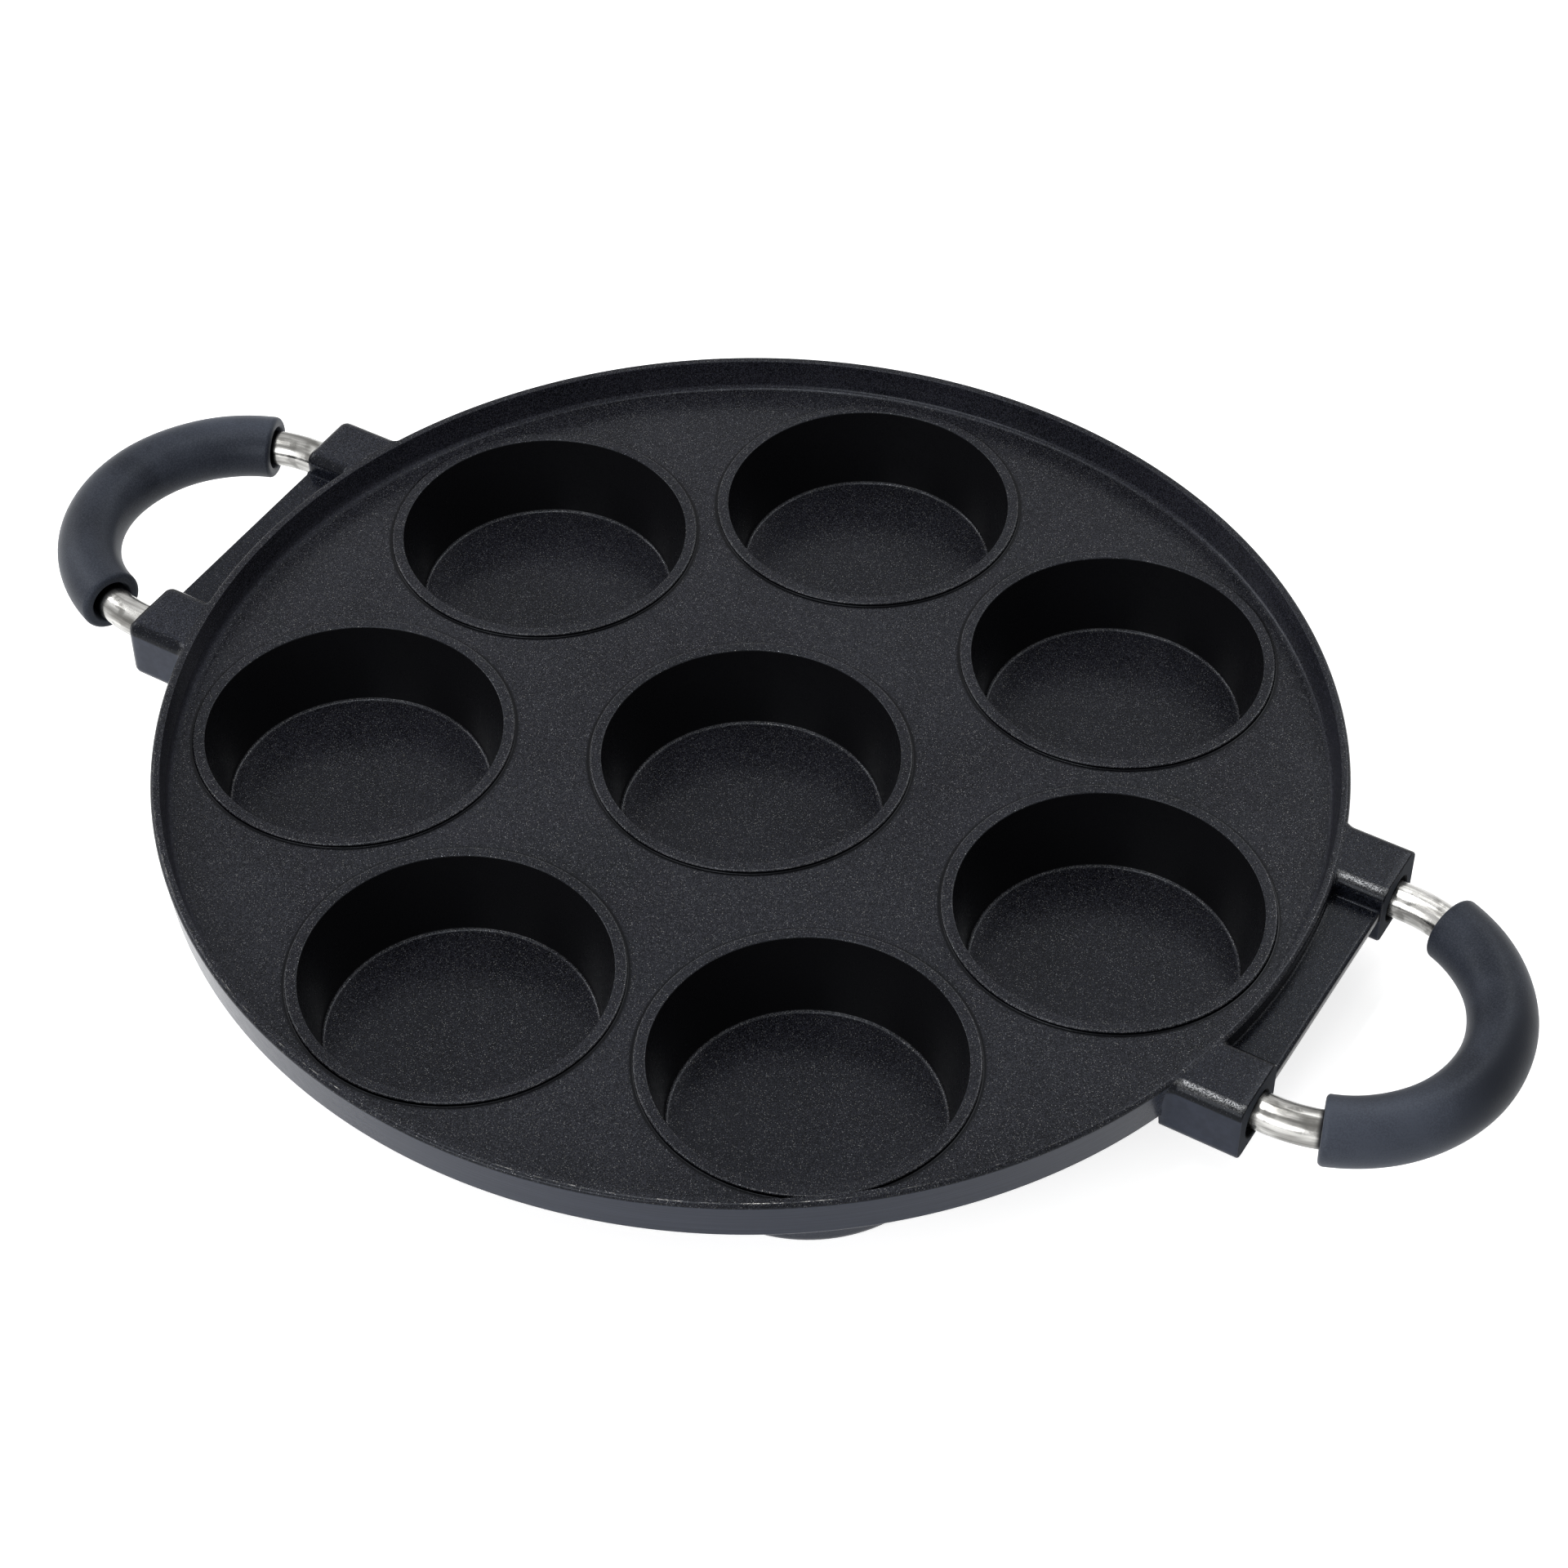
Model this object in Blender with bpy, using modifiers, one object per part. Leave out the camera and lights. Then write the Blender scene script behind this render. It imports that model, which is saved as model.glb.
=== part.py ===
# Round cast griddle pan with eight flat-bottomed wells and two looped bar handles.
# Units are metres. +Z is up, +X runs along the handles, and +Y points to the rear.
# The origin is the pan's centre, on the plane that its cups stand on.

import math

import bmesh
import bpy
from mathutils import Matrix

MM = 0.001

# Wells: one in the middle and a ring of others round it, as far apart as the gap between their lips says
RING_WELLS = 7
WELL_MOUTH_DIAMETER = 75.8 * MM
WELL_FLOOR_DIAMETER = 67.6 * MM
WELL_DEPTH = 22.4 * MM
WELL_CORNER_ROUND = 1.0 * MM
LIP_WIDTH = 3.0 * MM
LIP_HEIGHT = 1.0 * MM
LIP_GAP = 6.2 * MM
CUP_WALL = 2.2 * MM
CUP_FLOOR = 2.3 * MM
CUP_EDGE_ROUND = 4.0 * MM

# Tray: a round plate with a low rim, as wide as the ring of wells and the gap round it
RIM_GAP = 4.19 * MM
RIM_TOP_WIDTH = 2.4 * MM
RIM_DRAFT = 1.1 * MM
RIM_EDGE_ROUND = 0.8 * MM
TRAY_DEPTH = 8.4 * MM
TRAY_CORNER_ROUND = 1.6 * MM
PLATE_THICKNESS = 3.7 * MM

# Lugs that carry the handle bars, with a gusset under the plate, and the web between each pair
LUG_SPACING = 78.5 * MM
LUG_SIDE_WALL = 3.6 * MM
LUG_ROOF_WALL = 3.55 * MM
LUG_FLOOR_WALL = 1.75 * MM
LUG_REACH = 10.0 * MM
LUG_SHOULDER_ROUND = 3.2 * MM
LUG_UNDER_ROUND = 2.5 * MM
LUG_ROOT_ROUND = 3.0 * MM
GUSSET_TOP_REACH = 13.0 * MM
GUSSET_FOOT_REACH = 8.0 * MM
WEB_DROP = 6.0 * MM
WEB_THICKNESS = 3.5 * MM
WEB_SETBACK = 0.5 * MM

# Handle bars, bent from round stock
BAR_DIAMETER = 9.4 * MM
BAR_STRAIGHT_OUTSIDE = 2.4 * MM
BAR_LEG_IN_LUG = 12.6 * MM
BORE_PLAY = 1.0 * MM
BORE_SEAT_TILT = math.radians(41.0)

# Grip sleeves on the bend of each bar
SLEEVE_WALL = 3.4 * MM
SLEEVE_BORE_CLEARANCE = 0.4 * MM
SLEEVE_HALF_SWEEP = math.radians(71.0)
SLEEVE_END_ROUND = 1.8 * MM

# Socket set screws in the lug floors, which push the bars up against the roofs of the bores
SCREW_DIAMETER = 5.0 * MM
SCREW_LENGTH = 4.0 * MM
SCREW_CHAMFER = 0.6 * MM
SCREW_INSET = 6.5 * MM
SOCKET_ACROSS_FLATS = 2.5 * MM
SOCKET_DEPTH = 2.2 * MM
DIMPLE_DEPTH = 1.0 * MM

# Clearance between pieces that touch on the real pan
SEAT_GAP = 0.3 * MM

# Facets and steps on round shapes
TRAY_FACETS = 96
WELL_FACETS = 32
BORE_FACETS = 24
SCREW_FACETS = 20
SOCKET_SIDES = 6
BAR_SIDE_STEPS = 5
SLEEVE_SIDE_STEPS = 6
BEND_STEPS = 20
ROUND_STEPS = 3
EDGE_STEPS = 2
SMOOTH_ANGLE = math.radians(35.0)

# How near points are welded, how flat a face is, and how far a cutter runs past what it cuts
MERGE = 0.02 * MM
FLAT_ANGLE = math.radians(0.1)
OVERSHOOT = 2.0 * MM

# Heights above the plane that the cups stand on
LIP_TOP_Z = CUP_FLOOR + WELL_DEPTH
PLATE_TOP_Z = LIP_TOP_Z - LIP_HEIGHT
PLATE_UNDER_Z = PLATE_TOP_Z - PLATE_THICKNESS
PLATE_MID_Z = (PLATE_TOP_Z + PLATE_UNDER_Z) / 2
RIM_TOP_Z = PLATE_TOP_Z + TRAY_DEPTH
WEB_TOP_Z = RIM_TOP_Z - WEB_DROP

# Radii of the wells, the ring that they lie on, and the tray
MOUTH_RADIUS = WELL_MOUTH_DIAMETER / 2
FLOOR_RADIUS = WELL_FLOOR_DIAMETER / 2
WELL_SLOPE = (MOUTH_RADIUS - FLOOR_RADIUS) / WELL_DEPTH
LIP_RADIUS = MOUTH_RADIUS + LIP_WIDTH
RING_RADIUS = (LIP_RADIUS + LIP_GAP / 2) / math.sin(math.pi / RING_WELLS)
WALL_FOOT_RADIUS = RING_RADIUS + LIP_RADIUS + RIM_GAP
RIM_RADIUS = WALL_FOOT_RADIUS + RIM_TOP_WIDTH + RIM_DRAFT
RIM_MID_RADIUS = RIM_RADIUS - (RIM_TOP_WIDTH + RIM_DRAFT) / 2

# Bars, the bores that they lie in, and the lugs round the bores
BAR_RADIUS = BAR_DIAMETER / 2
BORE_RADIUS = BAR_RADIUS + BORE_PLAY + SEAT_GAP
BORE_Z = RIM_TOP_Z - LUG_ROOF_WALL - BORE_RADIUS
BAR_Z = BORE_Z + BORE_PLAY * math.cos(BORE_SEAT_TILT)
LUG_Y = LUG_SPACING / 2
BAR_Y = LUG_Y - BORE_PLAY * math.sin(BORE_SEAT_TILT)
LUG_HALF_WIDTH = BORE_RADIUS + LUG_SIDE_WALL
LUG_FLOOR_Z = BORE_Z - BORE_RADIUS - LUG_FLOOR_WALL
LUG_FACE_X = RIM_RADIUS + LUG_REACH
SLEEVE_RADIUS = BAR_RADIUS + SLEEVE_BORE_CLEARANCE + SLEEVE_WALL
BAR_END_X = LUG_FACE_X - BAR_LEG_IN_LUG
BEND_CENTRE_X = LUG_FACE_X + BAR_STRAIGHT_OUTSIDE
SCREW_RADIUS = SCREW_DIAMETER / 2
SCREW_X = LUG_FACE_X - SCREW_INSET
SCREW_TOP_Z = BAR_Z - BAR_RADIUS + DIMPLE_DEPTH - SEAT_GAP

# Right and left ends of the pan, and the rear and front lug at each end
ENDS = (("right", 1), ("left", -1))
ROWS = (("rear", 1), ("front", -1))


def clear_scene():
    for old in list(bpy.data.objects):
        bpy.data.objects.remove(old, do_unlink=True)


def new_collection(name):
    collection = bpy.data.collections.new(name)
    bpy.context.scene.collection.children.link(collection)
    return collection


def new_material(name, colour, roughness, metallic):
    material = bpy.data.materials.new(name)
    material.use_nodes = True
    shader = material.node_tree.nodes["Principled BSDF"]
    shader.inputs["Base Color"].default_value = (*colour, 1.0)
    shader.inputs["Roughness"].default_value = roughness
    shader.inputs["Metallic"].default_value = metallic
    return material


def shade(mesh, material):
    mesh.materials.clear()
    mesh.materials.append(material)
    mesh.shade_smooth()
    mesh.set_sharp_from_angle(angle=SMOOTH_ANGLE)


def evaluated_mesh(source):
    # The mesh that a curve or an object with modifiers makes, with loose caps welded and flat ends whole
    depsgraph = bpy.context.evaluated_depsgraph_get()
    mesh = bpy.data.meshes.new_from_object(source.evaluated_get(depsgraph))
    work = bmesh.new()
    work.from_mesh(mesh)
    bmesh.ops.remove_doubles(work, verts=work.verts, dist=MERGE)
    bmesh.ops.dissolve_limit(work, angle_limit=FLAT_ANGLE, verts=work.verts, edges=work.edges)
    work.to_mesh(mesh)
    work.free()
    bpy.data.objects.remove(source, do_unlink=True)
    return mesh


def linked_object(name, data):
    new_object = bpy.data.objects.new(name, data)
    bpy.context.scene.collection.objects.link(new_object)
    return new_object


def arc(centre, radius, start, end, steps=ROUND_STEPS):
    # Points along an arc, between two angles in degrees
    angles = [math.radians(start + (end - start) * step / steps) for step in range(steps + 1)]
    return [(centre[0] + radius * math.cos(a), centre[1] + radius * math.sin(a)) for a in angles]


def turned_mesh(name, profile, facets):
    # A profile turned about Z: from the axis at the top, down the outer side, to the axis below
    mesh = bpy.data.meshes.new(name)
    edges = [(index, index + 1) for index in range(len(profile) - 1)]
    mesh.from_pydata([(x, 0.0, z) for x, z in profile], edges, [])
    outline = linked_object(name, mesh)
    screw = outline.modifiers.new("Turn", "SCREW")
    screw.steps = facets
    screw.render_steps = facets
    screw.use_merge_vertices = True
    screw.merge_threshold = MERGE
    return evaluated_mesh(outline)


def prism_mesh(name, outline, low_z, high_z):
    # A flat outline, as a filled curve, raised from one height to another
    curve = bpy.data.curves.new(name, "CURVE")
    curve.dimensions = "2D"
    curve.fill_mode = "BOTH"
    curve.extrude = (high_z - low_z) / 2
    spline = curve.splines.new("POLY")
    spline.points.add(len(outline) - 1)
    for point, (x, y) in zip(spline.points, outline):
        point.co = (x, y, 0.0, 1.0)
    spline.use_cyclic_u = True
    mesh = evaluated_mesh(linked_object(name, curve))
    work = bmesh.new()
    work.from_mesh(mesh)
    bmesh.ops.translate(work, verts=work.verts, vec=(0.0, 0.0, (low_z + high_z) / 2))
    bmesh.ops.recalc_face_normals(work, faces=work.faces)
    work.to_mesh(mesh)
    work.free()
    return mesh


def tube_mesh(name, path, radius, level, swell=None):
    # A round tube along a path, with filled ends; swell scales its radius at each point
    curve = bpy.data.curves.new(name, "CURVE")
    curve.dimensions = "3D"
    curve.twist_mode = "Z_UP"
    curve.bevel_depth = radius
    curve.bevel_resolution = level
    curve.use_fill_caps = True
    spline = curve.splines.new("POLY")
    spline.points.add(len(path) - 1)
    for index, point in enumerate(spline.points):
        point.co = (*path[index], 1.0)
        point.radius = swell[index] if swell else 1.0
    return evaluated_mesh(linked_object(name, curve))


def cylinder_mesh(name, radius, length, facets):
    # A cylinder along Z, standing on the origin
    work = bmesh.new()
    bmesh.ops.create_cone(
        work, cap_ends=True, segments=facets, radius1=radius, radius2=radius, depth=length
    )
    bmesh.ops.translate(work, verts=work.verts, vec=(0.0, 0.0, length / 2))
    mesh = bpy.data.meshes.new(name)
    work.to_mesh(mesh)
    work.free()
    return mesh


def place(x=0.0, y=0.0, z=0.0, turn=0.0, tilt=0.0):
    # Where a copy goes: tilted about Y, turned about Z, then moved
    return Matrix.Translation((x, y, z)) @ Matrix.Rotation(turn, 4, "Z") @ Matrix.Rotation(tilt, 4, "Y")


def tool_object(name, mesh, places, collection):
    # A joiner or cutter: one copy of the mesh at each place, all in one hidden object
    work = bmesh.new()
    for matrix in places:
        first = len(work.verts)
        work.from_mesh(mesh)
        work.verts.ensure_lookup_table()
        bmesh.ops.transform(work, matrix=matrix, verts=work.verts[first:])
    joined = bpy.data.meshes.new(name)
    work.to_mesh(joined)
    work.free()
    tool = bpy.data.objects.new(name, joined)
    collection.objects.link(tool)
    tool.hide_render = True
    tool.display_type = "WIRE"
    return tool


def add_boolean(piece, tool, operation):
    step = piece.modifiers.new(f"{operation.title()} {tool.name}", "BOOLEAN")
    step.operation = operation
    step.solver = "EXACT"
    step.object = tool


def add_piece(name, mesh, collection, material, parent, turn=0.0):
    piece = bpy.data.objects.new(name, mesh)
    collection.objects.link(piece)
    piece.parent = parent
    piece.rotation_euler = (0.0, 0.0, turn)
    shade(mesh, material)
    return piece


def well_places():
    places = [place()]
    for index in range(RING_WELLS):
        angle = 2.0 * math.pi * index / RING_WELLS
        places.append(place(RING_RADIUS * math.cos(angle), RING_RADIUS * math.sin(angle)))
    return places


def end_places():
    return [place(), place(turn=math.pi)]


def leg_places(x, y, z=0.0, tilt=0.0):
    # One place at each of the four lugs, by its distances from the pan's two middle planes
    return [end @ place(x, row * y, z, tilt=tilt) for end in end_places() for _, row in ROWS]


def tray_mesh():
    corner = (WALL_FOOT_RADIUS - TRAY_CORNER_ROUND, PLATE_TOP_Z + TRAY_CORNER_ROUND)
    top_edge = (RIM_RADIUS - RIM_EDGE_ROUND, RIM_TOP_Z - RIM_EDGE_ROUND)
    under_edge = (RIM_RADIUS - RIM_DRAFT - RIM_EDGE_ROUND, PLATE_UNDER_Z + RIM_EDGE_ROUND)
    profile = [(0.0, PLATE_TOP_Z)]
    profile += arc(corner, TRAY_CORNER_ROUND, -90, 0)
    profile.append((RIM_RADIUS - RIM_TOP_WIDTH, RIM_TOP_Z))
    profile += arc(top_edge, RIM_EDGE_ROUND, 90, 0, EDGE_STEPS)
    profile += arc(under_edge, RIM_EDGE_ROUND, 0, -90, EDGE_STEPS)
    profile.append((0.0, PLATE_UNDER_Z))
    return turned_mesh("tray", profile, TRAY_FACETS)


def cup_radius(z):
    # Outer radius of a cup's tapered wall
    return FLOOR_RADIUS + CUP_WALL + WELL_SLOPE * (z - CUP_FLOOR)


def cup_mesh():
    # The lip that stands above the plate and the cup that hangs below it, before the well is cut
    foot = (cup_radius(CUP_EDGE_ROUND) - CUP_EDGE_ROUND, CUP_EDGE_ROUND)
    profile = [(0.0, LIP_TOP_Z), (LIP_RADIUS, LIP_TOP_Z), (LIP_RADIUS, PLATE_MID_Z)]
    profile.append((cup_radius(PLATE_MID_Z), PLATE_MID_Z))
    profile += arc(foot, CUP_EDGE_ROUND, 0, -90)
    profile.append((0.0, 0.0))
    return turned_mesh("cup", profile, WELL_FACETS)


def well_mesh():
    # The space in one well, run out above its lip
    corner = (FLOOR_RADIUS - WELL_CORNER_ROUND, CUP_FLOOR + WELL_CORNER_ROUND)
    profile = [(0.0, LIP_TOP_Z + OVERSHOOT)]
    profile.append((MOUTH_RADIUS + WELL_SLOPE * OVERSHOOT, LIP_TOP_Z + OVERSHOOT))
    profile += arc(corner, WELL_CORNER_ROUND, 0, -90, EDGE_STEPS)
    profile.append((0.0, CUP_FLOOR))
    return turned_mesh("well", profile, WELL_FACETS)


def lug_outline(row):
    # Plan of one lug, with a fillet from the rim into each side and its root inside the rim wall
    middle_y = row * LUG_Y
    corners = []
    for side in (-1, 1):
        side_y = middle_y + side * LUG_HALF_WIDTH
        centre_y = side_y + side * LUG_ROOT_ROUND
        centre_x = math.sqrt((RIM_RADIUS + LUG_ROOT_ROUND) ** 2 - centre_y ** 2)
        start = math.degrees(math.atan2(-centre_y, -centre_x))
        sweep = (-side * 90.0 - start + 180.0) % 360.0 - 180.0
        fillet = arc((centre_x, centre_y), LUG_ROOT_ROUND, start, start + sweep)
        root_y = fillet[0][1]
        root = (math.sqrt(RIM_MID_RADIUS ** 2 - root_y ** 2), root_y)
        corners.append([root] + fillet + [(LUG_FACE_X, side_y)])
    return corners[0] + corners[1][::-1]


def lug_mesh(row):
    mesh = prism_mesh("lug", lug_outline(row), LUG_FLOOR_Z, RIM_TOP_Z)
    work = bmesh.new()
    work.from_mesh(mesh)
    for level, width in ((RIM_TOP_Z, LUG_SHOULDER_ROUND), (LUG_FLOOR_Z, LUG_UNDER_ROUND)):
        long_edges = []
        for edge in work.edges:
            first, second = (vert.co for vert in edge.verts)
            is_level = abs(first.z - level) < MERGE and abs(second.z - level) < MERGE
            is_face = min(first.x, second.x) > LUG_FACE_X - MERGE
            is_root = max(first.xy.length, second.xy.length) < RIM_RADIUS - MERGE
            if is_level and not is_face and not is_root:
                long_edges.append(edge)
        bmesh.ops.bevel(
            work, geom=long_edges, offset=width, offset_type="OFFSET", segments=ROUND_STEPS,
            profile=0.5, affect="EDGES", clamp_overlap=True
        )
    work.to_mesh(mesh)
    work.free()
    return mesh


def gusset_mesh():
    # The sloping block that carries a lug's floor back to the underside of the plate
    work = bmesh.new()
    bmesh.ops.create_cube(work, size=1.0)
    for vert in work.verts:
        is_low = vert.co.z < 0.0
        is_inner = vert.co.x < 0.0
        reach = GUSSET_FOOT_REACH if is_low else GUSSET_TOP_REACH
        vert.co.x = RIM_RADIUS - reach if is_inner else RIM_RADIUS
        vert.co.y *= 2.0 * (LUG_HALF_WIDTH - LUG_UNDER_ROUND)
        vert.co.z = LUG_FLOOR_Z if is_low else PLATE_MID_Z
    mesh = bpy.data.meshes.new("gusset")
    work.to_mesh(mesh)
    work.free()
    return mesh


def web_mesh():
    # The plate between two lugs, from inside the rim wall to a straight outer edge
    reach = math.degrees(math.asin(LUG_Y / RIM_MID_RADIUS))
    outline = arc((0.0, 0.0), RIM_MID_RADIUS, -reach, reach, 3 * ROUND_STEPS)
    edge_x = LUG_FACE_X - WEB_SETBACK
    outline += [(edge_x, LUG_Y), (edge_x, -LUG_Y)]
    return prism_mesh("web", outline, WEB_TOP_Z - WEB_THICKNESS, WEB_TOP_Z)


def make_pan(parts, tools, material, origin):
    pan = add_piece("pan_body", tray_mesh(), parts, material, origin)
    wells = well_places()
    ends = end_places()
    add_boolean(pan, tool_object("cups", cup_mesh(), wells, tools), "UNION")
    add_boolean(pan, tool_object("gussets", gusset_mesh(), leg_places(0.0, LUG_Y), tools), "UNION")
    for name, row in ROWS:
        add_boolean(pan, tool_object(f"{name}_lugs", lug_mesh(row), ends, tools), "UNION")
    add_boolean(pan, tool_object("webs", web_mesh(), ends, tools), "UNION")
    add_boolean(pan, tool_object("wells", well_mesh(), wells, tools), "DIFFERENCE")
    bore_start = BAR_END_X - SEAT_GAP
    bore = cylinder_mesh("bore", BORE_RADIUS, LUG_FACE_X + OVERSHOOT - bore_start, BORE_FACETS)
    bores = leg_places(bore_start, LUG_Y, BORE_Z, tilt=math.pi / 2)
    add_boolean(pan, tool_object("bores", bore, bores, tools), "DIFFERENCE")
    hole_start = LUG_FLOOR_Z - OVERSHOOT
    hole = cylinder_mesh("screw_hole", SCREW_RADIUS + SEAT_GAP, BORE_Z - hole_start, SCREW_FACETS)
    holes = leg_places(SCREW_X, BAR_Y, hole_start)
    add_boolean(pan, tool_object("screw_holes", hole, holes, tools), "DIFFERENCE")


def bend_point(angle, z=BAR_Z):
    # A point on the bar's bend, by its angle from the tip of the handle
    return (BEND_CENTRE_X + BAR_Y * math.cos(angle), BAR_Y * math.sin(angle), z)


def bar_mesh(tools):
    bend = [bend_point(-math.pi / 2 + math.pi * step / BEND_STEPS) for step in range(BEND_STEPS + 1)]
    path = [(BAR_END_X, -BAR_Y, BAR_Z)] + bend + [(BAR_END_X, BAR_Y, BAR_Z)]
    bar = linked_object("bar", tube_mesh("bar", path, BAR_RADIUS, BAR_SIDE_STEPS))
    dimple = cylinder_mesh("dimple", SCREW_RADIUS + SEAT_GAP, OVERSHOOT + DIMPLE_DEPTH, SCREW_FACETS)
    low_z = BAR_Z - BAR_RADIUS - OVERSHOOT
    dimples = [place(SCREW_X, y, low_z) for y in (BAR_Y, -BAR_Y)]
    add_boolean(bar, tool_object("dimples", dimple, dimples, tools), "DIFFERENCE")
    return evaluated_mesh(bar)


def sleeve_mesh(tools):
    # The sleeve's ends are rounded by a smaller tube radius at the first and last points of its path
    rounds = [math.pi / 2 * step / ROUND_STEPS for step in range(ROUND_STEPS + 1)]
    angles = [SLEEVE_HALF_SWEEP - SLEEVE_END_ROUND * (1.0 - math.cos(a)) / BAR_Y for a in rounds]
    swell = [1.0 - SLEEVE_END_ROUND * (1.0 - math.sin(a)) / SLEEVE_RADIUS for a in rounds]
    inner = angles[-1]
    middle = [inner - 2.0 * inner * step / BEND_STEPS for step in range(1, BEND_STEPS)]
    path = [bend_point(a) for a in angles + middle + [-a for a in reversed(angles)]]
    swell = swell + [1.0] * len(middle) + swell[::-1]
    sleeve = linked_object("sleeve", tube_mesh("sleeve", path, SLEEVE_RADIUS, SLEEVE_SIDE_STEPS, swell))
    past_end = SLEEVE_HALF_SWEEP + OVERSHOOT / BAR_Y
    bore_path = [bend_point(a) for a in [past_end] + [inner] + middle + [-inner] + [-past_end]]
    bore_radius = BAR_RADIUS + SLEEVE_BORE_CLEARANCE
    bore = tube_mesh("sleeve_bore", bore_path, bore_radius, SLEEVE_SIDE_STEPS)
    add_boolean(sleeve, tool_object("sleeve_bore", bore, [place()], tools), "DIFFERENCE")
    return evaluated_mesh(sleeve)


def screw_mesh(tools):
    # A headless screw, chamfered at both ends, with a hexagon socket in its lower end
    low_z = SCREW_TOP_Z - SCREW_LENGTH
    neck = SCREW_RADIUS - SCREW_CHAMFER
    profile = [(0.0, SCREW_TOP_Z), (neck, SCREW_TOP_Z), (SCREW_RADIUS, SCREW_TOP_Z - SCREW_CHAMFER)]
    profile += [(SCREW_RADIUS, low_z + SCREW_CHAMFER), (neck, low_z), (0.0, low_z)]
    screw = linked_object("screw", turned_mesh("screw", profile, SCREW_FACETS))
    corner_radius = SOCKET_ACROSS_FLATS / math.sqrt(3.0)
    socket = cylinder_mesh("socket", corner_radius, SOCKET_DEPTH + OVERSHOOT, SOCKET_SIDES)
    socket_tool = tool_object("socket", socket, [place(z=low_z - OVERSHOOT)], tools)
    add_boolean(screw, socket_tool, "DIFFERENCE")
    return evaluated_mesh(screw)


def make_handles(parts, tools, steel, rubber, origin):
    # The left handle is the right one turned half round, so both share their meshes
    bar = bar_mesh(tools)
    sleeve = sleeve_mesh(tools)
    for end, side in ENDS:
        turn = 0.0 if side > 0 else math.pi
        add_piece(f"handle_bar_{end}", bar, parts, steel, origin, turn=turn)
        add_piece(f"grip_sleeve_{end}", sleeve, parts, rubber, origin, turn=turn)


def make_screws(parts, tools, material, origin):
    screw = screw_mesh(tools)
    for end, side in ENDS:
        for row_name, row in ROWS:
            piece = add_piece(f"set_screw_{end}_{row_name}", screw, parts, material, origin)
            piece.location = (side * SCREW_X, row * BAR_Y, 0.0)


def build():
    clear_scene()
    parts = new_collection("takoyaki_pan")
    tools = new_collection("cutters")
    origin = bpy.data.objects.new("pan_origin", None)
    parts.objects.link(origin)
    coating = new_material("coated_casting", (0.035, 0.037, 0.045), 0.5, 0.3)
    steel = new_material("polished_steel", (0.72, 0.72, 0.71), 0.18, 1.0)
    rubber = new_material("grip_rubber", (0.03, 0.034, 0.042), 0.7, 0.0)
    black_steel = new_material("blackened_steel", (0.05, 0.05, 0.055), 0.4, 1.0)
    make_pan(parts, tools, coating, origin)
    make_handles(parts, tools, steel, rubber, origin)
    make_screws(parts, tools, black_steel, origin)


build()
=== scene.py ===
import math
from functools import partial, reduce

import bmesh
import bpy
import numpy as np
from mathutils import Matrix, Vector


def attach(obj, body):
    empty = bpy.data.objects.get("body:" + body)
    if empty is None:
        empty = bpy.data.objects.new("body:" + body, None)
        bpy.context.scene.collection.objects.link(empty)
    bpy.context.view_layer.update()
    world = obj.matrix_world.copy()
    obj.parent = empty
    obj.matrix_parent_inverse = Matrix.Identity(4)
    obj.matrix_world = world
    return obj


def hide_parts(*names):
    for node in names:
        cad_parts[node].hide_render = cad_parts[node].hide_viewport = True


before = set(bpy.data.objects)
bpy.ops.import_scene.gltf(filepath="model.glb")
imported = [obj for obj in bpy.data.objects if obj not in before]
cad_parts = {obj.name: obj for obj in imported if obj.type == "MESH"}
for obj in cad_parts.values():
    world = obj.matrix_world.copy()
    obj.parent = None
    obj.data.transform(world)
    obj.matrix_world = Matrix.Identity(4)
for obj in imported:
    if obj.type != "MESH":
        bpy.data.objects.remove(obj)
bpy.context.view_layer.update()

# Round cast griddle pan with flat-bottomed wells: looks, light and camera.
# Shapes are worked out in millimetres and put into metres when they become a mesh.

mm = 0.001
print("frame loaded")


def gridFaces(rows, columns, closeRows, closeColumns):
    # Quads of a grid: cell (i, j) joins points (i, j), (i, j+1), (i+1, j+1) and (i+1, j), counted round
    # where the grid is closed
    i = np.arange(rows if closeRows else rows - 1)[:, None]
    j = np.arange(columns if closeColumns else columns - 1)[None, :]
    steps = [(i, j), (i, j + 1), (i + 1, j + 1), (i + 1, j)]
    corners = [np.broadcast_arrays(a % rows * columns + b % columns, a, b) for a, b in steps]
    index = np.stack([c[0] for c in corners], axis=-1).reshape(-1, 4)
    rowStep = np.stack([c[1] for c in corners], axis=-1).reshape(-1)
    columnStep = np.stack([c[2] for c in corners], axis=-1).reshape(-1)
    return index, rowStep, columnStep


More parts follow.
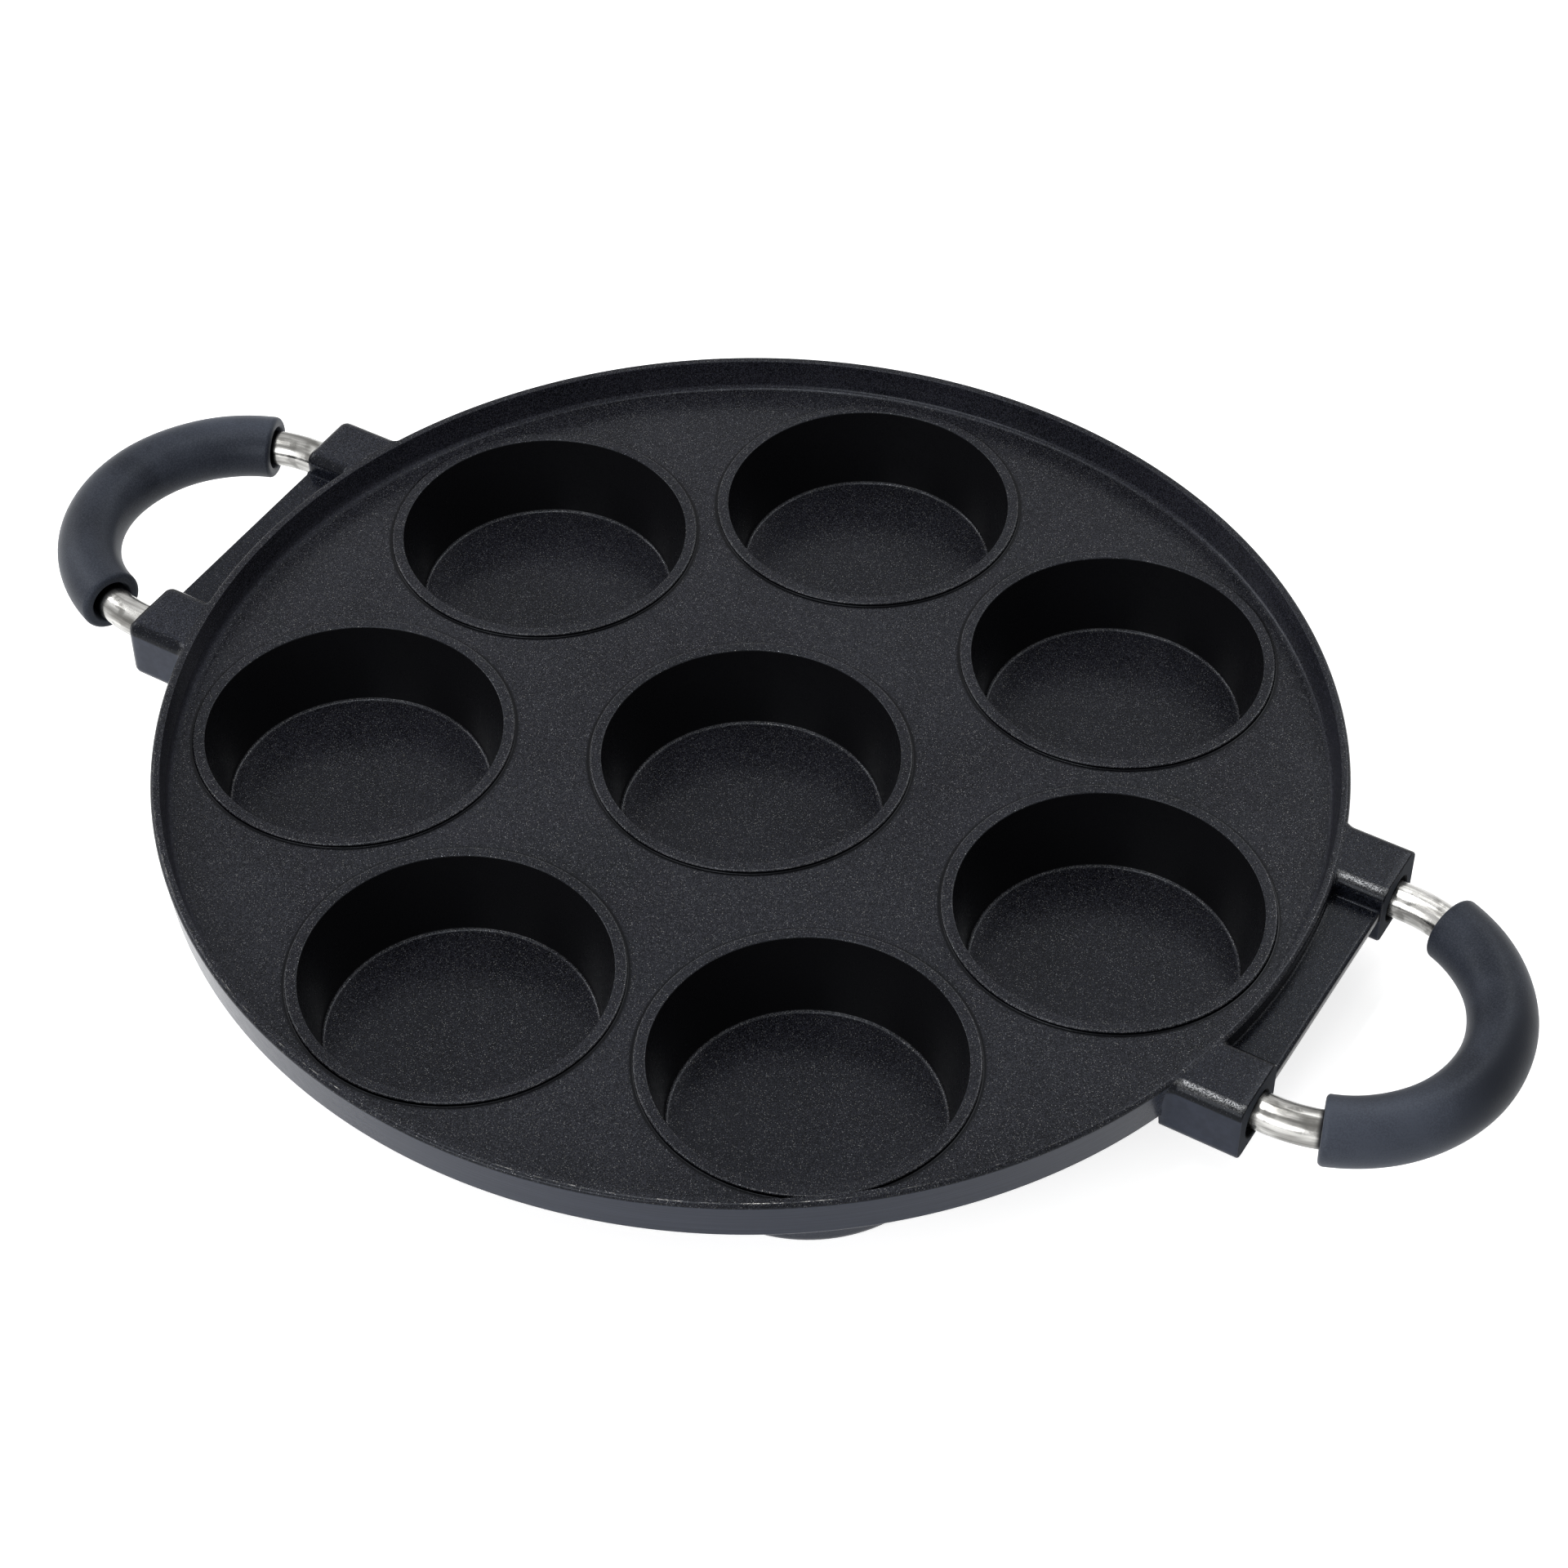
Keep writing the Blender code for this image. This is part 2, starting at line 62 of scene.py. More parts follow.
def surfaceMesh(name, patches, marks=None, weld=0.01):
    # One mesh from grids (points, closeRows, closeColumns), seams welded, faces turned outwards.
    # marks gives lengths along the rows and columns of a single grid, and they become its UV map in metres.
    points, faces, start = [], [], 0
    for grid, closeRows, closeColumns in patches:
        rows, columns = grid.shape[:2]
        index, rowStep, columnStep = gridFaces(rows, columns, closeRows, closeColumns)
        points.append(grid.reshape(-1, 3))
        faces.append(index + start)
        start += rows * columns
    points = np.concatenate(points) * mm
    faces = np.concatenate(faces)
    mesh = bpy.data.meshes.new(name)
    mesh.vertices.add(len(points))
    mesh.vertices.foreach_set("co", points.ravel())
    mesh.loops.add(faces.size)
    mesh.loops.foreach_set("vertex_index", faces.ravel().astype(np.int32))
    mesh.polygons.add(len(faces))
    mesh.polygons.foreach_set("loop_start", np.arange(0, faces.size, 4, dtype=np.int32))
    mesh.update(calc_edges=True)
    if marks is not None:
        along, around = np.asarray(marks[0]) * mm, np.asarray(marks[1]) * mm
        layer = mesh.uv_layers.new(name="lengths")
        layer.uv.foreach_set("vector", np.stack([along[rowStep], around[columnStep]], axis=-1).ravel())
    work = bmesh.new()
    work.from_mesh(mesh)
    bmesh.ops.remove_doubles(work, verts=work.verts, dist=weld * mm)
    bmesh.ops.recalc_face_normals(work, faces=work.faces)
    work.to_mesh(mesh)
    work.free()
    return mesh


def roundedLine(corners, hold=0.3):
    # A line through corners (across, up, radius, steps): each corner becomes the arc that touches both sides.
    # A point stands a little off each end of an arc, so that flat faces stay flat in the shading.
    spots = [np.array(corner[:2], float) for corner in corners]
    line = [spots[0][None]]
    for before, here, after, corner in zip(spots[:-2], spots[1:-1], spots[2:], corners[1:-1]):
        radius, steps = corner[2:]
        back = (before - here) / np.linalg.norm(before - here)
        onward = (after - here) / np.linalg.norm(after - here)
        half = math.acos(float(back @ onward)) / 2
        reach = radius / math.tan(half)
        centre = here + (back + onward) / np.linalg.norm(back + onward) * radius / math.sin(half)
        first = here + back * reach - centre
        last = here + onward * reach - centre
        turn = math.copysign(math.pi - 2 * half, first[0] * last[1] - first[1] * last[0])
        angles = np.linspace(0.0, turn, steps + 1)[:, None]
        arc = centre + np.cos(angles) * first + np.sin(angles) * np.array([-first[1], first[0]])
        if hold:
            arc = np.concatenate([[here + back * (reach + hold)], arc, [here + onward * (reach + hold)]])
        line.append(arc)
    line.append(spots[-1][None])
    return np.concatenate(line)


def fillGaps(line, longest):
    # The same line with more points on its long stretches: its own points, and one every so many millimetres
    travel = np.concatenate([[0.0], np.cumsum(np.linalg.norm(np.diff(line, axis=0), axis=1))])
    extra = np.arange(longest, travel[-1], longest)
    extra = extra[np.abs(extra[:, None] - travel[None]).min(axis=1) > longest / 3]
    places = np.sort(np.concatenate([travel, extra]))
    return np.stack([np.interp(places, travel, line[:, k]) for k in range(line.shape[1])], axis=-1)


def turned(profile, angles, centre=(0.0, 0.0)):
    # A profile (radius, height) turned about an upright axis: x = cx + r cos a, y = cy + r sin a
    radius, height = profile[:, :1], profile[:, 1:]
    x = centre[0] + radius * np.cos(angles)[None]
    y = centre[1] + radius * np.sin(angles)[None]
    return np.stack([x, y, np.broadcast_to(height, x.shape)], axis=-1)


def cutAway(mesh, cutters):
    # The mesh with the space of each cutter taken out
    blank = bpy.data.objects.new("blank", mesh)
    helpers = [bpy.data.objects.new("cutter", cutter) for cutter in cutters]
    for helper in [blank] + helpers:
        bpy.context.scene.collection.objects.link(helper)
    for helper in helpers:
        step = blank.modifiers.new("cut", "BOOLEAN")
        step.operation = "DIFFERENCE"
        step.solver = "EXACT"
        step.object = helper
    seen = blank.evaluated_get(bpy.context.evaluated_depsgraph_get())
    result = bpy.data.meshes.new_from_object(seen)
    for helper in [blank] + helpers:
        bpy.data.objects.remove(helper, do_unlink=True)
    return result


def joinedMesh(name, pieces):
    # One mesh from (mesh, x sign, y sign) copies, each mirrored by its signs, all faces turned outwards
    work = bmesh.new()
    for mesh, xSign, ySign in pieces:
        first = len(work.verts)
        work.from_mesh(mesh)
        work.verts.ensure_lookup_table()
        bmesh.ops.transform(work, matrix=Matrix.Diagonal((xSign, ySign, 1.0, 1.0)), verts=work.verts[first:])
    bmesh.ops.recalc_face_normals(work, faces=work.faces)
    result = bpy.data.meshes.new(name)
    work.to_mesh(result)
    work.free()
    return result


def addPiece(name, mesh, material, slotName, *nodes):
    # A finished piece at the origin, smooth but for its creases, standing for its CAD nodes
    mesh.materials.clear()
    mesh.materials.append(material)
    mesh.shade_smooth()
    mesh.set_sharp_from_angle(angle=math.radians(38))
    piece = bpy.data.objects.new(name, mesh)
    bpy.context.scene.collection.objects.link(piece)
    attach(piece, "root")
    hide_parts(*nodes)
    print(name, len(mesh.polygons), "faces")
    return piece


def feed(node, inputs):
    # Links the sockets among a node's inputs and sets the other values
    for key, value in inputs.items():
        if isinstance(value, bpy.types.NodeSocket):
            node.id_data.links.new(value, node.inputs[key])
        else:
            node.inputs[key].default_value = value


def addNode(tree, kind, inputs=None, **settings):
    # A shader node of this kind, with its settings made and its inputs fed
    node = tree.nodes.new("ShaderNode" + kind)
    for key, value in settings.items():
        setattr(node, key, value)
    feed(node, inputs or {})
    return node


def calc(operation, *values):
    # Arithmetic on sockets and numbers, in the tree of the first socket among them
    tree = next(value.id_data for value in values if isinstance(value, bpy.types.NodeSocket))
    return addNode(tree, "Math", dict(enumerate(values)), operation=operation).outputs[0]


def times(*values):
    # The product of all the values
    return reduce(partial(calc, "MULTIPLY"), values)


def most(*values):
    # The largest of the values
    return reduce(partial(calc, "MAXIMUM"), values)


def length(across, along):
    # Root of the sum of two squares
    return calc("SQRT", calc("ADD", times(across, across), times(along, along)))


def ease(value, low, high, toLow=0.0, toHigh=1.0):
    # Smooth step: toLow up to low, toHigh from high on
    inputs = {0: value, 1: low, 2: high, 3: toLow, 4: toHigh}
    return addNode(value.id_data, "MapRange", inputs, interpolation_type="SMOOTHSTEP").outputs[0]


def band(value, rise, fall):
    # One between two smooth steps, each given by its start and its end
    return times(ease(value, *rise), ease(value, *fall))


def tint(factor, first, second, way="MIX"):
    # From the first colour to the second by the factor, or with MULTIPLY to the product of both
    inputs = {0: factor, 6: first, 7: second}
    return addNode(factor.id_data, "Mix", inputs, data_type="RGBA", blend_type=way).outputs[2]


def noise(place, scale, detail, roughness=0.5):
    # Soft noise from nothing to one, with about this many marks to each unit of the place
    inputs = {"Vector": place, "Scale": scale, "Detail": detail, "Roughness": roughness}
    return addNode(place.id_data, "TexNoise", inputs).outputs[0]


def bump(height, strength, distance, **earlier):
    # The surface's direction, tilted by a height that is given as a share of a distance in metres. Normal
    # gives an earlier tilt to go on from.
    inputs = {"Height": height, "Strength": strength, "Distance": distance, **earlier}
    return addNode(height.id_data, "Bump", inputs).outputs[0]


def inMillimetres(place):
    # The three parts of a place that is given in metres
    scaled = addNode(place.id_data, "VectorMath", {0: place, "Scale": 1 / mm}, operation="SCALE").outputs[0]
    return addNode(place.id_data, "SeparateXYZ", {0: scaled}).outputs


def newMaterial(name):
    # A material, its node tree and its shader
    material = bpy.data.materials.new(name)
    material.use_nodes = True
    return material, material.node_tree, material.node_tree.nodes["Principled BSDF"]


coatingLook = dict(
    dark=(0.0010, 0.0011, 0.0016, 1.0),    # the coating's darkest grains
    light=(0.0292, 0.0302, 0.0384, 1.0),   # its lightest grains
    sideDark=(0.0215, 0.0257, 0.0395, 1.0),  # the smooth outer side, not sprayed with flecks
    side=(0.0288, 0.0343, 0.0522, 1.0),
    ends=(0.018, 0.021, 0.028, 1.0),       # the milled ends of the lugs
    bore=(0.0015, 0.0015, 0.002, 1.0),     # painted shade inside the bores, nearly black
    rubbedAndPaintedHighlight=(0.115, 0.117, 0.12, 1.0),      # painted highlight, bright and metallic, along the top of the right lugs' shoulders
    wearAndPaintedHighlight=(0.55, 0.54, 0.50, 1.0),          # bare metal on the rim's worn edge, which also stands for a painted highlight there
    fleckWarm=(0.31, 0.298, 0.268, 1.0),
    fleckCool=(0.245, 0.262, 0.295, 1.0),
    wall=(0.0042, 0.0042, 0.0049, 1.0),    # painted shade on the wells' walls, which are smooth, without flecks
    foot=(0.0008, 0.0008, 0.0014, 1.0),    # painted shade: the dark line at the outer foot of each lip
    leftLugsPaintedLight=(1.08, 1.12, 1.2, 1.0),       # casts, by which the coating's colour is multiplied: painted light on the left lugs
    # painted shade on the right lugs
    rightLugsPaintedShade=(0.78, 0.81, 0.89, 1.0),
    # painted shade on the webs between the lugs
    webs=(0.62, 0.68, 0.78, 1.0),
    paintedShoulderShade=(0.28, 0.28, 0.30, 1.0),     # painted shade on the lugs' rounded edges
    rimWall=(1.05, 1.05, 1.12, 1.0),
    floors=(0.8, 0.8, 0.84, 1.0),          # painted shade on the wells' floors
    gloss=(0.86, 0.92, 1.0, 1.0),
    grainSize=0.21,                        # millimetres from grain to grain
    fleckShare=0.2,                        # share of the grains that are bright flecks
    fleckPower=2.2,                        # the higher, the fewer of them are at their brightest
    peelSize=0.22,
    lineStretch=(26.0, 26.0, 3800.0),      # the side's lines run round it and are thin in height
    roughness=0.22,
    specular=0.125,
)

coatingZone = dict(                              # where the coating's zones start and end, in millimetres
    corner=((33.1, 33.4), (33.9, 33.7)),         # fold of a well's floor and wall, from the well's axis
    lipEdge=((40.35, 40.5), (40.9, 40.75)),      # outer edge of a lip, from the same axis
    foot=((40.78, 40.88), (42.1, 41.4)),         # painted shade line round a lip
    wellFloor=3.4,                               # only the wells' floors lie under this height in a well
    upper=23.0,                                  # tops of plate and webs lie over this height
    rimWall=(144.8, 146.0),                      # the rim's inner wall, from the pan's axis
    rimFoot=(144.5, 144.9),                      # its foot, which fades out upwards and to the rear
    rimFootHeight=(26.4, 25.2), rimFootAlong=(80.0, 20.0),
    outside=(149.7, 150.2),                      # beyond the rim: lugs and webs
    paintedHighlightX=100.0, paintedHighlightHeight=28.5,            # the right lugs' tops, which get the painted highlight, lie beyond this x, over this height
    boreRadius=6.3, boreX=145.0,                 # the bores lie beyond this x
    wearAndHighlightRadius=149.02, wearAndHighlightWidth=(0.14, 0.04),   # circle and half width of the worn line, partly wear and partly painted highlight
    wearAndHighlightAlong=(-50.0, -110.0),                   # it fades in along y, towards the front
)


def coatingMaterial():
    # Dark sprayed coating. Faces that look up hold flecks. The others are smooth and lighter. Painted shade
    # darkens the wells, the lips' feet, the bores, the lugs' shoulders, the webs and the right lugs. Painted
    # light lifts the left lugs, and painted highlights brighten the right lugs' shoulders and some edges.
    look, zone = coatingLook, coatingZone
    material, tree, shader = newMaterial("fleckedCoating")
    place = addNode(tree, "TexCoord")
    spot = place.outputs["Object"]
    x, y, z = inMillimetres(spot)
    faceX, faceY, faceZ = addNode(tree, "SeparateXYZ", {0: place.outputs["Normal"]}).outputs
    radius, toEnd, toSide = length(x, y), calc("ABSOLUTE", x), calc("ABSOLUTE", y)
    above = calc("GREATER_THAN", z, zone["upper"])
    between = times(calc("LESS_THAN", toSide, web["lugSideY"] + 0.2), above)
    outside = ease(radius, *zone["outside"])
    sprayed = most(ease(faceZ, 0.01, 0.16), between)

    # distance from the nearest well's axis: the ring's wells stand at whole shares of a turn
    share = 2 * math.pi / pan["wells"]
    nearest = times(calc("ROUND", calc("DIVIDE", calc("ARCTAN2", y, x), share)), share)
    offX = calc("SUBTRACT", x, times(calc("COSINE", nearest), pan["ringRadius"]))
    offY = calc("SUBTRACT", y, times(calc("SINE", nearest), pan["ringRadius"]))
    fromWell = calc("MINIMUM", length(offX, offY), radius)

    # zones of the wells, then of the rim, then of the lugs
    onFloor = calc("LESS_THAN", z, zone["wellFloor"])
    # the wells' walls, which get painted shade
    wall = times(calc("LESS_THAN", fromWell, pan["mouth"] + 0.15), ease(faceZ, 0.75, 0.4))
    corner = times(band(fromWell, *zone["corner"]), onFloor)
    lipEdge = times(band(fromWell, *zone["lipEdge"]), calc("GREATER_THAN", z, pan["lipTop"] - 0.25))
    # painted shade line at the outer foot of each lip
    foot = times(band(fromWell, *zone["foot"]), ease(z, pan["lipTop"] - 0.15, pan["lipTop"] - 0.4), above)
    rimWall = times(ease(radius, *zone["rimWall"]), ease(faceZ, 0.99, 0.9),
                    calc("LESS_THAN", radius, pan["rimInner"] + 0.2))
    rimFoot = times(ease(radius, *zone["rimFoot"]), calc("LESS_THAN", radius, pan["rimInner"]),
                    ease(z, *zone["rimFootHeight"]), ease(y, *zone["rimFootAlong"]))
    # the lugs' rounded edges, which get painted shade
    shoulder = times(outside, ease(faceZ, 0.995, 0.9), calc("SUBTRACT", 1.0, between))
    endFace = times(calc("GREATER_THAN", toEnd, lug["faceX"] - 0.05),
                    calc("GREATER_THAN", calc("ABSOLUTE", faceX), 0.9))
    # inside the bores, which get painted shade
    fromBore = length(calc("SUBTRACT", toSide, lug["middleY"]), calc("SUBTRACT", z, lug["boreZ"]))
    paintedBoreShade = times(calc("LESS_THAN", fromBore, zone["boreRadius"]),
                   calc("GREATER_THAN", toEnd, zone["boreX"]))

    # grains: the cell noise's colour says how light and how warm each is, and whether it is a bright fleck
    cells = addNode(tree, "TexVoronoi", {"Vector": spot, "Scale": 1000 / look["grainSize"]}, feature="F1")
    chance, warmth, power = addNode(tree, "SeparateColor", {0: cells.outputs["Color"]}).outputs
    dot = ease(cells.outputs["Distance"], 0.55, 0.2)
    bright = calc("POWER", ease(chance, 1 - look["fleckShare"], 1.0), look["fleckPower"])
    plain = most(wall, foot, times(most(rimWall, shoulder), 0.6), times(outside, 0.4))
    # extra flecks paint highlight lines along the wells' folds and the lips' outer edges
    paintedHighlightFlecks = most(times(corner, 0.45), times(lipEdge, 0.5))
    fleck = most(times(dot, bright, ease(faceZ, 0.03, 0.2), calc("SUBTRACT", 1.0, plain)),
                 times(dot, paintedHighlightFlecks, ease(power, 0.1, 0.9)))

    # bright marks: a painted highlight on the right lugs' shoulders, and a thin broken line along the rim's
    # outer edge, partly wear and partly painted highlight
    rubbedAndPaintedHighlight = times(ease(faceZ, 0.998, 0.985), ease(faceZ, 0.62, 0.82), ease(faceY, -0.05, -0.15), outside,
                   calc("GREATER_THAN", x, zone["paintedHighlightX"]), calc("GREATER_THAN", z, zone["paintedHighlightHeight"]),
                   ease(power, 0.25, 0.8, 0.12, 1.0))
    fromEdge = calc("ABSOLUTE", calc("SUBTRACT", radius, zone["wearAndHighlightRadius"]))
    wearAndPaintedHighlight = times(ease(fromEdge, *zone["wearAndHighlightWidth"]), ease(noise(spot, 260.0, 4.0, 0.7), 0.48, 0.7),
                 ease(y, *zone["wearAndHighlightAlong"]), calc("GREATER_THAN", z, pan["rimTop"] - 0.3))

    # sprayed colour with its casts: painted light on the left lugs, and painted shade on the right lugs, the
    # webs, the lugs' shoulders and the wells' floors
    clouds, mottle = noise(spot, 28.0, 3.0), noise(spot, 420.0, 2.0)
    shade = calc("ADD", times(ease(clouds, 0.3, 0.7), 0.14), times(calc("POWER", power, 1.8), 0.86))
    base = tint(shade, look["dark"], look["light"])
    # painted light on the left lugs, painted shade on the right lugs
    lugs = tint(calc("GREATER_THAN", x, 0.0), look["leftLugsPaintedLight"], look["rightLugsPaintedShade"])
    casts = ((outside, tint(between, lugs, look["webs"])), (rimWall, look["rimWall"]),
             (onFloor, look["floors"]), (shoulder, look["paintedShoulderShade"]))
    for amount, cast in casts:
        base = tint(amount, base, cast, "MULTIPLY")

    # the outer side has lines left along it by turning, and the lugs' sides have a mottle instead
    stretched = addNode(tree, "Mapping", {"Vector": spot, "Scale": look["lineStretch"]}).outputs[0]
    turning = noise(stretched, 1.0, 2.0)
    lines = addNode(tree, "Mix", {0: outside, 2: turning, 3: mottle}, data_type="FLOAT").outputs[0]
    base = tint(sprayed, tint(ease(lines, 0.3, 0.75), look["sideDark"], look["side"]), base)

    # zones and marks with a colour of their own, among them painted shade on the wells' walls, at the lips'
    # feet and in the bores, and a painted highlight on the right lugs' shoulders
    colours = ((times(wall, sprayed), look["wall"]), (foot, look["foot"]), (endFace, look["ends"]),
               (paintedBoreShade, look["bore"]), (rubbedAndPaintedHighlight, look["rubbedAndPaintedHighlight"]),
               (fleck, tint(warmth, look["fleckCool"], look["fleckWarm"])), (times(wearAndPaintedHighlight, 0.35), look["wearAndPaintedHighlight"]))
    for amount, colour in colours:
        base = tint(amount, base, colour)

    # orange peel, spray grain and the side's lines, as height
    grain = noise(spot, 1000 / look["peelSize"], 1.0)
    peel = bump(mottle, 0.35, 0.00009)
    fine = bump(times(grain, sprayed), 0.35, 0.00005, Normal=peel)
    brushed = bump(times(lines, calc("SUBTRACT", 1.0, sprayed)), 0.25, 0.00002, Normal=fine)
    rough = calc("ADD", look["roughness"] - 0.05, times(mottle, 0.1))
    dull = most(times(most(endFace, paintedBoreShade), 0.6), times(wall, 0.06), times(rimFoot, 0.45))
    feed(shader, {
        "Base Color": base, "Metallic": most(times(fleck, 0.55), times(rubbedAndPaintedHighlight, 0.7), wearAndPaintedHighlight),
        "Roughness": calc("ADD", rough, dull), "Normal": brushed,
        "Specular IOR Level": look["specular"], "Specular Tint": look["gloss"]})
    return material


steelLook = dict(
    bright=(0.60, 0.595, 0.575, 1.0), dull=(0.15, 0.147, 0.138, 1.0), roughness=0.16,
    paintedSleeveShade=(0.02, 0.02, 0.022, 1.0),       # painted shade: a dark ring on the bar next to the sleeve
    sleeveShadeFrom=49.2, sleeveShadeTo=48.0,        # millimetres along the bar from the middle of its bend
)


def steelMaterial():
    # Polished bar: bands of painted reflection and streaks run along it, so the noise is stretched along the
    # UV map's first length, and the second length is wrapped round the section, so that no seam shows
    look = steelLook
    material, tree, shader = newMaterial("polishedBar")
    along, around = inMillimetres(addNode(tree, "UVMap", uv_map="lengths").outputs[0])[:2]
    turn = calc("DIVIDE", around, bar["radius"])

    def wrapped(markLength, markWidth):
        # Noise with marks about this long and this wide, in millimetres
        girth = bar["radius"] / markWidth
        place = addNode(tree, "CombineXYZ", {
            0: times(along, 1 / markLength), 1: times(calc("COSINE", turn), girth),
            2: times(calc("SINE", turn), girth)}).outputs[0]
        return noise(place, 1.0, 2.0)

    # bands of painted reflection and streaks, wrapped round the bar
    paintedReflectionBands, streaks = wrapped(13.0, 2.8), wrapped(22.0, 0.7)
    smudge = noise(addNode(tree, "TexCoord").outputs["Object"], 260.0, 3.0)
    shade = calc("ADD", times(ease(paintedReflectionBands, 0.36, 0.62), 0.7), times(ease(streaks, 0.35, 0.7), 0.3))
    shade = times(shade, ease(smudge, 0.32, 0.5, 0.3, 1.0))
    # painted shade: a dark ring next to the sleeve
    paintedSleeveShade = ease(calc("ABSOLUTE", along), look["sleeveShadeFrom"], look["sleeveShadeTo"])
    feed(shader, {
        "Base Color": tint(paintedSleeveShade, tint(shade, look["dull"], look["bright"]), look["paintedSleeveShade"]),
        "Roughness": calc("ADD", look["roughness"], times(ease(smudge, 0.35, 0.75), 0.12)),
        "Metallic": 1.0, "Normal": bump(calc("ADD", paintedReflectionBands, times(smudge, 0.5)), 0.5, 0.00016)})
    return material


rubberLook = dict(
    dark=(0.0085, 0.0098, 0.0145, 1.0), light=(0.052, 0.059, 0.077, 1.0), gloss=(0.82, 0.9, 1.0, 1.0),
    roughness=0.42, specular=0.14, sheen=0.07, sheenRoughness=0.4,
    dustAndLightAlong=(-6.0, -32.0), dustAndLightOut=(33.0, 39.0),  # millimetres across the pan, and from the bend's middle
    dustAndLightLeft=0.45, dustAndLightRight=0.68,
    paintedOuterShade=(198.5, 204.5),                         # beyond this x the right sleeve's outer side has painted shade
)


def rubberMaterial():
    # Soft matte sleeve: fine pebbled grain, a little lighter in clouds, with a thin sheen. Dust and painted
    # light lighten the near half of the right sleeve and the far half of the left one, away from the inside
    # of the bend, and painted shade darkens the right sleeve's outer side.
    look = rubberLook
    material, tree, shader = newMaterial("softSleeve")
    spot = addNode(tree, "TexCoord").outputs["Object"]
    x, y = inMillimetres(spot)[:2]
    pebbles = addNode(tree, "TexVoronoi", {"Vector": spot, "Scale": 2600.0}, feature="SMOOTH_F1")
    grain, clouds = noise(spot, 2700.0, 3.0), noise(spot, 70.0, 4.0)
    shade = calc("ADD", times(ease(clouds, 0.36, 0.66), 0.22), times(ease(grain, 0.36, 0.7), 0.32))
    # dust and painted light, on the near half of the right sleeve and the far half of the left one
    fromBend = length(calc("SUBTRACT", calc("ABSOLUTE", x), bar["bendX"]), y)
    dustAndPaintedLight = times(ease(times(y, calc("SIGN", x)), *look["dustAndLightAlong"]),
                 ease(fromBend, *look["dustAndLightOut"], 0.2, 1.0),
                 ease(x, -100.0, 100.0, look["dustAndLightLeft"], look["dustAndLightRight"]))
    # painted shade on the right sleeve's outer side
    paintedOuterShade = ease(x, *look["paintedOuterShade"])
    shade = calc("ADD", times(shade, calc("SUBTRACT", 1.0, times(paintedOuterShade, 0.95))), dustAndPaintedLight)
    height = calc("ADD", pebbles.outputs["Distance"], times(grain, 0.6))
    feed(shader, {
        "Base Color": tint(shade, look["dark"], look["light"]),
        "Roughness": calc("ADD", look["roughness"], times(ease(clouds, 0.35, 0.7), 0.08)),
        "Normal": bump(height, 0.3, 0.00006),
        "Specular IOR Level": look["specular"], "Specular Tint": look["gloss"],
        "Sheen Weight": look["sheen"], "Sheen Roughness": look["sheenRoughness"],
        "Sheen Tint": look["gloss"]})
    return material


screwLook = dict(
    black=(0.02, 0.02, 0.022, 1.0), rubbedAndPaintedHighlight=(0.09, 0.088, 0.085, 1.0), roughness=0.3, metallic=0.9)


def screwMaterial():
    # Black oxide on steel, thinner and lighter in spots where a key has rubbed
    look = screwLook
    material, tree, shader = newMaterial("blackOxide")
    wear = noise(addNode(tree, "TexCoord").outputs["Object"], 1500.0, 3.0)
    feed(shader, {
        "Base Color": tint(ease(wear, 0.5, 0.75), look["black"], look["rubbedAndPaintedHighlight"]),
        "Roughness": calc("ADD", look["roughness"], times(wear, 0.2)), "Metallic": look["metallic"]})
    return material


# The casting: tray, wells and cups in one closed skin, with the lugs, webs and gussets let into it
pan = dict(
    wells=7, ringRadius=101.41, mouth=37.9, floor=33.8, floorZ=2.3, lipTop=24.7, lipRadius=40.9,
    plateTop=23.7, plateUnder=20.0, cupFoot=35.58, cupTop=39.24, holeRadius=41.6,
    innerCell=50.7, topCell=144.4, underCell=147.7, outerSteps=44, sideSteps=34, innerSteps=14,
    rimFoot=146.24, rimInner=147.6, rimOuter=150.08, rimUnder=148.82, rimTop=32.1,
)


def cellBorder(outer):
    # Outline of one ring well's share of the plate: outer arc, one side, inner arc, other side, evenly spaced
    half = math.pi / pan["wells"]
    sides = (pan["outerSteps"], pan["sideSteps"], pan["innerSteps"], pan["sideSteps"])
    outerPart, upPart, innerPart, downPart = [np.arange(count) / count for count in sides]
    radius = np.concatenate([
        np.full(sides[0], outer), outer + (pan["innerCell"] - outer) * upPart,
        np.full(sides[2], pan["innerCell"]), pan["innerCell"] + (outer - pan["innerCell"]) * downPart])
    angle = np.concatenate([
        half * (2 * outerPart - 1), np.full(sides[1], half),
        half * (1 - 2 * innerPart), np.full(sides[3], -half)])
    return np.stack([radius * np.cos(angle), radius * np.sin(angle)], axis=-1)


def plateCell(outer, height, columns):
    # Flat ring of plate round one well: straight between the outline and the hole, point for point
    border = cellBorder(outer)
    hole = np.stack([pan["ringRadius"] + pan["holeRadius"] * np.cos(columns),
                     pan["holeRadius"] * np.sin(columns)], axis=-1)
    flat = np.stack([border, hole])
    return np.concatenate([flat, np.full(flat.shape[:2] + (1,), height)], axis=-1)


def spun(grid, angle):
    # The grid turned about the pan's axis
    cosine, sine = math.cos(angle), math.sin(angle)
    return grid @ np.array([[cosine, sine, 0], [-sine, cosine, 0], [0, 0, 1]])


